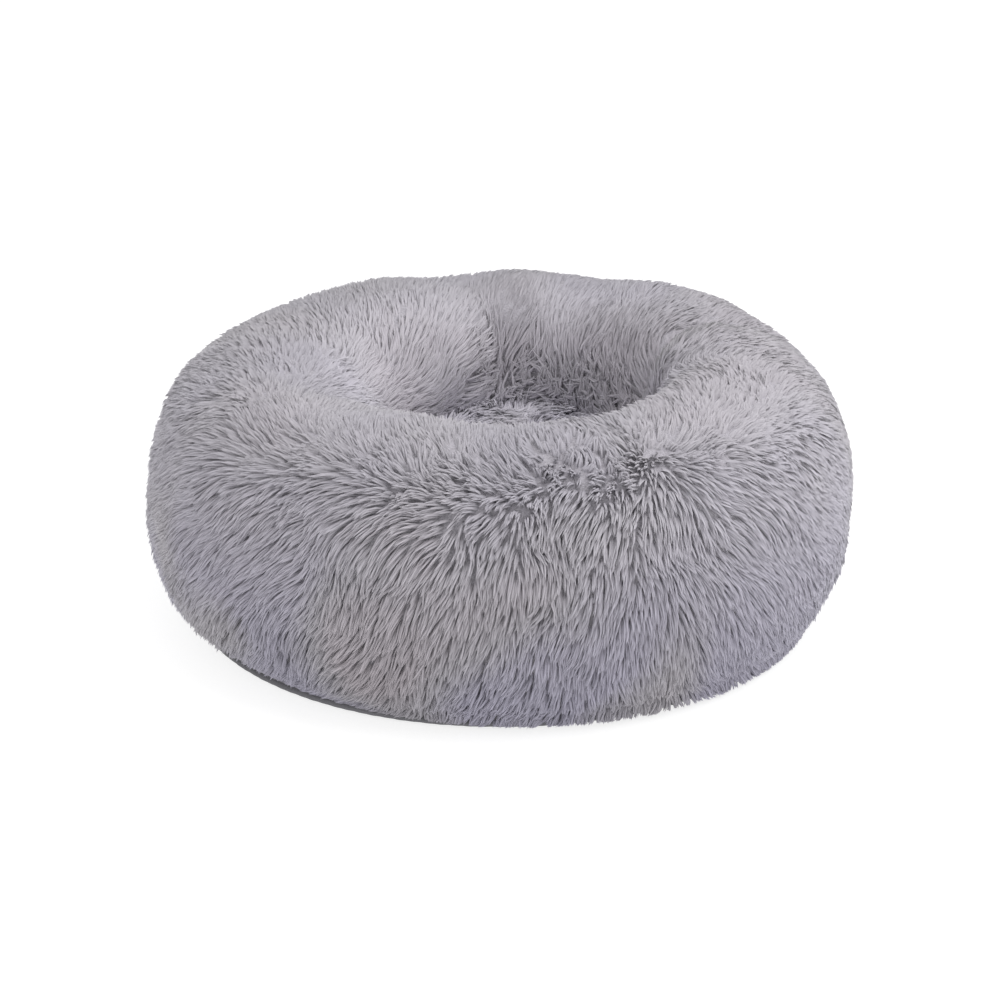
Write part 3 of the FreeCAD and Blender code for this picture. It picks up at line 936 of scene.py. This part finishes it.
def wall_landing(theta, u, lay, up_way, round_way):
    """Where locks of the wall's pile lay their tips, however far they sweep."""
    before = skin_point(theta, np.maximum(u - 0.05, 0))
    after = skin_point(theta, np.minimum(u + 0.05, LAST_U))
    per_place = np.linalg.norm(after - before, axis=1) / 0.1
    radius = np.linalg.norm(before[:, :2], axis=1)
    climb, turn = np.sum(lay * up_way, axis=1), np.sum(lay * round_way, axis=1)

    def landing(sweep):
        wanted = u + climb * sweep / per_place
        place = np.clip(wanted, 0, LAST_U)
        under, above, _, _ = skin_frame(theta + turn * sweep / radius, place)
        below = np.clip(-wanted, 0, None) * per_place
        return under - UP * below[:, None], above, pile_depth(theta, place)

    return landing


def near_zip(theta):
    """1 over the zip, falling to 0 a little past its ends."""
    return smoothstep(93, ZIP_REACH, from_zip(theta))


def filled_partings(theta, u):
    """The wall's locks, with more of them where the pile stands on end and would show gaps."""
    at, _, up_way, round_way = skin_frame(theta, u)
    lay = lay_of_pile(at, theta, u, up_way, round_way)
    upright = (np.linalg.norm(lay, axis=1) < 0.66) & (u < 10)
    rng = np.random.default_rng(55)
    radius = np.linalg.norm(at[upright, :2], axis=1)
    more_theta = theta[upright] + rng.uniform(-0.5, 0.5, len(radius)) * LOCK_SPACING / radius
    more_u = u[upright] + rng.uniform(-0.05, 0.05, len(radius))
    return np.append(theta, more_theta % TURN), np.append(u, more_u)


def wall_tone_and_painted_light(shade, theta, u, rough):
    """The wall's tones: painted light in the well, painted shade over the crest and in rough tufts.
    """
    in_well = smoothstep(10.0, 11.5, u)
    # Painted light in the well, and painted shade where the well's pile parts into rough tufts.
    shade = shade + 1.5 * in_well - 1.3 * rough * in_well
    # Painted shade where the pile turns over the crest, at the front and the back.
    painted_crest_shade = 0.5 * near_angle(theta, -80, 28) + near_angle(theta, 112, 72)
    shade = shade - painted_crest_shade * bell(u, 9.0, 1.8)
    # Painted shade low on the front left.
    return shade - 0.6 * near_angle(theta, -128, 34) * smoothstep(5.0, 3.0, u)


def raise_hem(bend, tip, theta):
    """Lifts the lowest tips, in place: the piping shows below them at the left and behind."""
    hem = 0.0030 + 0.0085 * near_angle(theta, -145, 48)
    hem = np.maximum(hem, ZIP_CLEAR_HEIGHT * near_zip(theta) ** 2)
    tip[:, 2] = np.maximum(tip[:, 2], hem)
    bend[:, 2] = np.maximum(bend[:, 2], hem + 0.0015)


def fur_pieces(names, sector, columns, material):
    """One piece of fur for each name, of the strands whose sector has its number."""
    for number, name in enumerate(names):
        piece = fur_object(name, *(column[sector == number] for column in columns))
        dress(piece, material)


def make_wall_fur(material):
    theta, u = filled_partings(*wall_locks())
    furred = u >= ZIP_FUR_U * smoothstep(88, ZIP_REACH, from_zip(theta))
    theta, u = theta[furred], u[furred]
    at, normal, up_way, round_way = skin_frame(theta, u)
    depth = pile_depth(theta, u)
    rough = rough_share(theta, u)
    calm = calm_share(theta, u) * (1 - rough)
    lay = lay_of_pile(at, theta, u, up_way, round_way)
    landing = wall_landing(theta, u, lay, up_way, round_way)
    strands = spread_strands(at, normal, lay, depth, calm, rough, landing, 202)
    root, bend, tip, facing, width, shade, calm, lock = strands
    theta, u = theta[lock], u[lock]
    shade = wall_tone_and_painted_light(shade, theta, u, rough[lock])
    raise_hem(bend, tip, theta)
    clear_zip(bend, tip, theta)
    columns = (root, bend, tip, facing, width, shade, calm)
    inner = u > INNER_U
    kinds = (("outer", ~inner, OUTER_SECTORS), ("inner", inner, INNER_SECTORS))
    for kind, here, sectors in kinds:
        sector = np.where(here, (theta / TURN * sectors).astype(int), -1)
        names = [f"fur_{kind}_{k + 1:02d}" for k in range(sectors)]
        fur_pieces(names, sector, columns, material)


def make_floor_fur(material):
    rng = np.random.default_rng(303)
    rings = int(WELL_FLOOR_RADIUS / LOCK_SPACING)
    radius, theta = [], []
    for ring in range(rings):
        middle = (ring + 0.5) / rings * WELL_FLOOR_RADIUS
        count = max(3, int(TURN * middle / LOCK_SPACING))
        radius.append(middle + rng.uniform(-JITTER, JITTER, count) * LOCK_SPACING)
        theta.append((np.arange(count) + rng.uniform(-JITTER, JITTER, count)) / count * TURN)
    radius, theta = np.concatenate(radius), np.concatenate(theta)
    inside = radius < WELL_FLOOR_RADIUS - well_wall_shift(theta, LAST_U) + 0.003
    radius, theta = radius[inside], theta[inside]
    at = round_the_axis(radius, floor_height(radius), theta)
    normal = np.tile(UP, (len(at), 1))
    eddies = [eddy_up(at) + curl_up(at), eddy_round(at) + curl_round(at), 0 * radius]
    eddies = np.stack(eddies, axis=1)
    lay = 0.45 * eddies + np.array([0.35, -0.5, 0.0])
    depth = np.full(len(at), WELL_PILE_DEPTH)

    def landing(sweep):
        return at + lay * sweep[:, None], normal, depth

    none = 0 * depth
    strands = spread_strands(at, normal, lay, depth, none, none + 0.4, landing, 404)
    root, bend, tip, facing, width, shade, calm, _ = strands
    # The well floor's strands are lightened: painted light where the well lies in shade.
    strands = (root, bend, tip, facing, width, shade + 1.8, calm)
    sector = (np.arctan2(root[:, 1], root[:, 0]) / TURN % 1.0 * FLOOR_SECTORS).astype(int)
    names = [f"fur_well_{k + 1}" for k in range(FLOOR_SECTORS)]
    fur_pieces(names, sector, strands, material)


# ---- cloth under the fur ---------------------------------------------------------------


def make_backing(material):
    """The plush's backing with its underwool: two panels with seams, each a closed shell."""
    columns, rows = 150, 57
    for side, start in PANEL_STARTS.items():
        angles = np.radians(np.linspace(start, start + PANEL_SWEEP, columns))
        u, theta = np.meshgrid(np.linspace(0.0, LAST_U, rows), angles, indexing="ij")
        u, theta = u.ravel(), theta.ravel()
        u = np.where(from_zip(theta) < ZIP_GAP_REACH, np.maximum(u, ZIP_EDGE_U), u)
        at, normal, _, _ = skin_frame(theta, u)
        share = 0.27 * calm_share(theta, u) - 0.14 * rough_share(theta, u)
        share = share + 0.04 * near_angle(theta, -70, 20) * bell(u, 7.8, 0.9)
        share = UNDERWOOL_SHARE + np.minimum(share, 0.25)[:, None]
        wool = share * along_profile(PILE_DEPTH, u)
        shell = np.concatenate([at + normal * wool, at - normal * BACKING_THICKNESS])
        made = mesh_object(f"backing_{side}", shell, slab_faces(rows, columns))
        dress(made, material, [f"plush_panel_{side}"])


def make_floor_backing(material):
    radius = np.linspace(0.002, WELL_FLOOR_RADIUS, 24)[:, None]
    low = round_the_axis(radius, floor_height(radius), full_turn(96))
    top = low[::-1] + UP * UNDERWOOL_SHARE * WELL_PILE_DEPTH
    made = turned_solid("backing_well_floor", np.concatenate([low, top]))
    dress(made, material, ["well_floor_plush"])


# ---- cushions --------------------------------------------------------------------------

CASE_GAP = 0.0070
CASE_SECTIONS = 168
CUSHION_LOW = 0.0046
CUSHION_LOWEST = 0.0040
PUFF_FRAMES = 18
PUFF_PRESSURE = 4.0
PUFF_LIMIT = 0.0035
wrinkle = Waves(31, 0.035)
pucker = Waves(32, 0.012)


def puff(made):
    """Blows a cushion's case up a little with a short cloth simulation, applied to the mesh."""
    mesh, scene = made.data, bpy.context.scene
    count = len(mesh.vertices) * 3
    before, after = np.empty(count), np.empty(count)
    mesh.vertices.foreach_get("co", before)
    cloth = made.modifiers.new("cloth", "CLOTH")
    cloth.settings.use_pressure = True
    cloth.settings.uniform_pressure_force = PUFF_PRESSURE
    cloth.settings.effector_weights.gravity = 0.0
    cloth.settings.quality = 5
    cloth.point_cache.frame_start = 1
    cloth.point_cache.frame_end = PUFF_FRAMES
    for number in range(1, PUFF_FRAMES + 1):
        scene.frame_set(number)
    puffed = made.evaluated_get(bpy.context.evaluated_depsgraph_get()).data
    puffed.vertices.foreach_get("co", after)
    made.modifiers.remove(cloth)
    scene.frame_set(1)
    moved = (after - before).reshape(-1, 3)
    far = np.linalg.norm(moved, axis=1, keepdims=True)
    moved = moved * np.minimum(1.0, PUFF_LIMIT / np.maximum(far, 1e-9))
    mesh.vertices.foreach_set("co", (before.reshape(-1, 3) + moved).reshape(-1))
    mesh.update()


def keep_inside(made, outer, high):
    """Holds a cushion's points below a height inside a radius, and all of them off the base."""
    for vertex in made.data.vertices:
        x, y, z = vertex.co
        radius = math.hypot(x, y)
        if 0 < z < high and radius > outer:
            vertex.co.x, vertex.co.y = x * outer / radius, y * outer / radius
        vertex.co.z = max(z, CUSHION_LOWEST)


def make_bolster(material):
    """The ring cushion: a closed case just inside the cover, gathered along its seams."""
    theta = full_turn(CASE_SECTIONS)
    columns = []
    for u in np.linspace(1.0, 13.4, 34):
        at, normal, _, _ = skin_frame(theta, np.full(CASE_SECTIONS, u))
        seam = bell(u, 1.0, 1.2) + bell(u, 13.4, 1.2)
        folds = 0.0009 * wrinkle(at) + 0.0012 * seam * pucker(at)
        columns.append(at - normal * (CASE_GAP + folds)[:, None])
    foot = [(0.1425, 0.1070), (0.1462, 0.0950), (0.1468, 0.0700), (0.1466, 0.0400)]
    base = [(0.1490, 0.0150), (0.1560, 0.0062), (0.1800, CUSHION_LOW), (0.2150, CUSHION_LOW)]
    for radius, height in foot + base + [(0.2420, 0.0062)]:
        columns.append(round_the_axis(radius, height, theta))
    made = closed_tube("bolster_cushion", np.stack(columns, axis=1))
    puff(made)
    keep_inside(made, 0.2552, 0.030)
    dress(made, material, ["bolster_case", "bolster_filling"])


def make_floor_cushion(material):
    """The round cushion under the well: crowned, with a puckered seam round its top edge."""
    theta = full_turn(120)
    foot = [(0.120, CUSHION_LOW), (0.129, 0.0075), (0.1335, 0.0170)]
    side = [(0.1355, 0.0400), (0.1360, 0.0620)]
    edge = [(0.1345, 0.0840), (0.1310, 0.0920), (0.1290, 0.0945), (0.1270, 0.0965)]
    rings = [round_the_axis(r, CUSHION_LOW, theta) for r in (0.003, 0.03, 0.06, 0.09)]
    for radius, height in foot + side + edge:
        ring = round_the_axis(radius, height, theta)
        near_seam = bell(height, 0.0945, 0.012)
        ring = ring * (1 + 0.010 * near_seam * pucker(ring) + 0.004 * wrinkle(ring))[:, None]
        ring[:, 2] = np.minimum(ring[:, 2], 0.0975)
        rings.append(ring)
    for radius in (0.115, 0.095, 0.075, 0.055, 0.035, 0.018, 0.003):
        ring = round_the_axis(radius, floor_height(radius) - 0.0055, theta)
        ring[:, 2] += 0.0012 * wrinkle(ring) - 0.0012
        rings.append(ring)
    made = turned_solid("floor_cushion", np.stack(rings))
    puff(made)
    keep_inside(made, 0.1385, 0.2)
    for vertex in made.data.vertices:
        highest = float(floor_height(math.hypot(vertex.co.x, vertex.co.y))) - 0.0015
        vertex.co.z = min(vertex.co.z, highest)
    dress(made, material, ["floor_cushion_case", "floor_cushion_filling"])


# ---- underside -------------------------------------------------------------------------


def make_piping(cloth, cord_cotton, thread):
    """The piping round the rim, its twisted cord and the stitches along its upper side."""
    sections, sides = 720, 14
    theta, turn = full_turn(sections)[:, None], full_turn(sides)
    crease = 0.00010 * np.sin(150 * theta + turn) + 0.00008 * np.sin(61 * theta - 2 * turn)
    faces = [tuple(reversed(face)) for face in ring_faces(sections, sides)]
    parts = []
    for tube, way in ((PIPING_TUBE - 0.0001, 1), (PIPING_TUBE - PIPING_WALL, -1)):
        radius = PIPING_RADIUS + (tube + crease) * np.cos(way * turn)
        height = PIPING_HEIGHT + (tube + crease) * np.sin(way * turn)
        parts.append((round_the_axis(radius, height, theta).reshape(-1, 3), faces))
    made = joined_mesh("rim_piping_cloth", parts)
    dress(made, cloth, ["rim_piping"])

    along, off_middle = full_turn(1500), 0.00112
    strands = []
    for k in range(3):
        twist = CORD_TWISTS * along + TURN * k / 3
        radius = PIPING_RADIUS + off_middle * np.cos(twist)
        height = PIPING_HEIGHT + off_middle * np.sin(twist)
        centres = round_the_axis(radius, height, along)
        strands.append(tube_grid(centres, CORD_RADIUS - 0.00122, 6, UP, True))
    made = joined_mesh("piping_cord_strands", strands)
    dress(made, cord_cotton, ["piping_cord"])

    tilt, reach = math.radians(62), PIPING_TUBE + 0.00012
    radius = PIPING_RADIUS + reach * math.cos(tilt)
    height = PIPING_HEIGHT + reach * math.sin(tilt)
    theta = full_turn(400, first=0.5)
    made = stitches_round("piping_stitches", radius, height, theta, tilt, 0.0030, 0.00026)
    dress(made, thread)


def make_bottom(cloth):
    """The bottom cloth, drawn tight inside the piping with small gathers at its edge."""
    theta = full_turn(240)
    radius = np.linspace(0.003, BOTTOM_RADIUS, 44)[:, None]
    flat = round_the_axis(radius, 0.0, theta)
    gather = smoothstep(0.20, BOTTOM_RADIUS, radius) * np.sin(84 * theta + 2 * np.sin(7 * theta))
    ease = 0.5 + 0.5 * wrinkle(flat.reshape(-1, 3)).reshape(flat.shape[:2]) / 2.5
    rise = 0.00030 * np.clip(ease + 0.4 * gather, 0, 1.3)
    low = flat + UP * (BOTTOM_LOW + rise)[..., None]
    top = low[::-1] + UP * (BOTTOM_THICK - 0.0004)
    made = turned_solid("bottom_cloth", np.concatenate([low, top]))
    dress(made, cloth, ["bottom_panel"])


def make_label(satin, thread):
    """The blank care label on the bottom cloth, sewn along its inner edge."""
    out = np.array([math.cos(LABEL_ANGLE), math.sin(LABEL_ANGLE), 0.0])
    beside = np.array([-math.sin(LABEL_ANGLE), math.cos(LABEL_ANGLE), 0.0])
    across, along = np.linspace(-0.5, 0.5, 15), np.linspace(-0.5, 0.5, 21)
    a, b = np.meshgrid(along, across, indexing="ij")
    flat = out * LABEL_AT + beside * (b.ravel() * LABEL_SIZE[0])[:, None]
    flat = flat + out * (a.ravel() * LABEL_SIZE[1])[:, None]
    curl = 0.00012 * np.sin(9 * a.ravel()) * np.sin(5 * b.ravel() + 1)
    low = flat + UP * (LABEL_LOW + curl)[:, None]
    top = low + UP * LABEL_THICK
    shell = np.concatenate([top, low])
    made = mesh_object("label_cloth", shell, slab_faces(*a.shape))
    dress(made, satin, ["care_label"])

    places = np.linspace(-0.42, 0.42, 8) * LABEL_SIZE[0]
    middles = out * (LABEL_AT - 0.44 * LABEL_SIZE[1]) + beside * places[:, None]
    middles = middles + UP * (LABEL_LOW - 0.0001)
    ways, facing = np.tile(beside, (8, 1)), np.tile(-UP, (8, 1))
    made = stitch_rows("label_stitches", middles, ways, facing, 0.0022, 0.00018)
    dress(made, thread)


# ---- zip -------------------------------------------------------------------------------


def make_tape(side, low, high, tape, thread):
    """One woven tape as a band round the rear, with a row of stitches along it."""
    start, end = TAPE_ENDS
    inner, outer = TAPE_RADII
    columns = np.linspace(start, end, 360)
    section = [(inner, low), (inner, high), (outer, high), (outer, (low + high) / 2), (outer, low)]
    ripple = 0.00006 * np.sin(170 * columns) + 0.00004 * np.sin(67 * columns)
    rings = np.stack([round_the_axis(r + ripple, z, columns) for r, z in section], axis=1)
    made = turned_solid(f"tape_{side}_cloth", rings, smooth=False)
    dress(made, tape, [f"zip_tape_{side}"])

    name, theta = f"tape_{side}_stitches", np.linspace(start + 0.02, end - 0.02, 190)
    height = TAPE_STITCH_HEIGHTS[side]
    made = stitches_round(name, outer + 0.00008, height, theta, 0.0, 0.0028, 0.00022)
    dress(made, thread)


def make_coil(side, coil):
    """One row of teeth: a fine coil along the edge of its tape."""
    first, last = COIL_ENDS
    turns = (last - first) * COIL_RADIUS / COIL_PITCH
    along = np.linspace(0, 1, int(turns * COIL_STEPS))
    twist = along * turns * TURN
    radius = COIL_RADIUS + 0.00078 * np.cos(twist)
    height = COIL_HEIGHTS[side] + 0.00076 * np.sin(twist)
    theta = first + (last - first) * along
    axis = round_the_axis(1.0, 0.0, theta + TURN / 4)
    tube = tube_grid(round_the_axis(radius, height, theta), COIL_WIRE, 5, axis, False)
    dress(mesh_object(f"coil_{side}_teeth", *tube), coil, [f"zip_coil_{side}"])


def make_zip(tape, coil, thread):
    for side, (low, high) in TAPES.items():
        make_tape(side, low, high, tape, thread)
        make_coil(side, coil)


def finish_cad_piece(node, material, bevel=None):
    """A CAD piece keeps its shape and takes a material, and eased edges where it has them."""
    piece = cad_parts[node]
    piece.data.materials.clear()
    piece.data.materials.append(material)
    if bevel:
        eased = piece.modifiers.new("eased", "BEVEL")
        eased.width = bevel
        eased.segments = 2
        eased.limit_method = "ANGLE"


# ---- room, light and camera ------------------------------------------------------------


def make_room():
    bpy.ops.mesh.primitive_plane_add(size=30.0, location=(0, 0, -0.0005))
    floor = bpy.context.object
    floor.name = "floor"
    s = Shader("floor_white", (0.38, 0.38, 0.38), 0.85, specular=0.1, Emission_Strength=0.78)
    s.set(s.bsdf, "Emission Color", (1.0, 1.0, 1.0, 1.0))
    floor.data.materials.append(s.material)
    world = bpy.data.worlds.new("studio")
    bpy.context.scene.world = world
    world.use_nodes = True
    sky = world.node_tree.nodes["Background"]
    sky.inputs["Color"].default_value = (1.0, 1.0, 1.0, 1.0)
    sky.inputs["Strength"].default_value = 0.8


def area_light(name, place, target, size, power):
    light = bpy.data.lights.new(name, "AREA")
    light.shape = "SQUARE"
    light.size = size
    light.energy = power
    made = add_object(name, light)
    made.location = place
    made.rotation_euler = (Vector(target) - Vector(place)).to_track_quat("-Z", "Y").to_euler()


def make_camera():
    elevation, distance, pitch_down = math.radians(21.18), 1.874, math.radians(0.81)
    middle = Vector((0, 0, 0.1115))
    place = middle + distance * Vector((0, -math.cos(elevation), math.sin(elevation)))
    camera = add_object("camera", bpy.data.cameras.new("camera"))
    camera.location = place
    camera.rotation_euler = (math.pi / 2 - elevation - pitch_down, 0, 0)
    camera.data.lens = 78.8
    camera.data.sensor_width = 36.0
    bpy.context.scene.camera = camera


bpy.context.scene.view_settings.view_transform = "Standard"
make_camera()
make_room()
area_light("key", (1.2, -0.4, 2.2), (0, 0, 0.1), 2.0, 31)
area_light("fill", (-1.3, -1.8, 1.2), (0, 0, 0.1), 1.6, 3.5)

fur = fur_material()
backing = backing_material()
make_backing(backing)
make_floor_backing(backing)
make_wall_fur(fur)
make_floor_fur(fur)

nonwoven = nonwoven_material()
make_bolster(nonwoven)
make_floor_cushion(nonwoven)
dark_thread = thread_material("dark_thread", (0.08, 0.078, 0.086), (0.2, 0.196, 0.212))
cotton = thread_material("cotton_cord", (0.55, 0.53, 0.48), (0.78, 0.76, 0.70))
make_piping(piping_material(), cotton, dark_thread)
make_bottom(oxford_material())
make_label(satin_material(), dark_thread)
make_zip(tape_material(), coil_material(), dark_thread)
paint = metal_material("slider_paint", (0.72, 0.71, 0.70), (0.5, 0.5, 0.5), (0.2, 0.196, 0.212))
for node in ("slider_body", "slider_bridge", "zip_pull"):
    finish_cad_piece(node, paint, bevel=0.00015)
stops = metal_material("stop_metal", (0.55, 0.54, 0.52), (0.36, 0.35, 0.34))
finish_cad_piece("zip_stops", stops)
finish_cad_piece("grip_dots", rubber_material())
